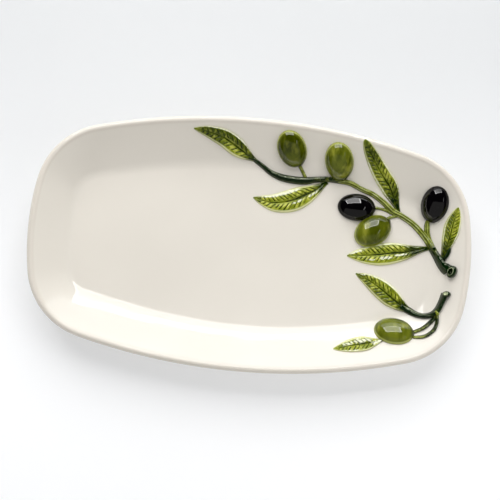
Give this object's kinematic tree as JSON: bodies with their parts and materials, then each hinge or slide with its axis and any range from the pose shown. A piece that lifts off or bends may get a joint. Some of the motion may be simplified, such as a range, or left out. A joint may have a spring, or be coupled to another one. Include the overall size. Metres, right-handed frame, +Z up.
{
  "type": "serving platter",
  "caption": "Oblong glazed ceramic serving platter with a rounded lip, sloping walls and a near-flat well, with olive sprigs moulded in relief at one end.",
  "frame": {"origin": "centre of the bounding box's underside, on the table under the middle of the platter", "axes": "+X along the platter's length towards the end with the sprigs, +Y across its width, +Z up out of the well"},
  "size_m": [0.362, 0.208, 0.0328],
  "materials": {
    "cream_glaze": "gloss",
    "leaf_glaze": "gloss",
    "green_olive_glaze": "gloss",
    "black_olive_glaze": "gloss",
    "twig_glaze": "gloss"
  },
  "bodies": {
    "root": {"platter": "cream_glaze"}
  },
  "joints": []
}
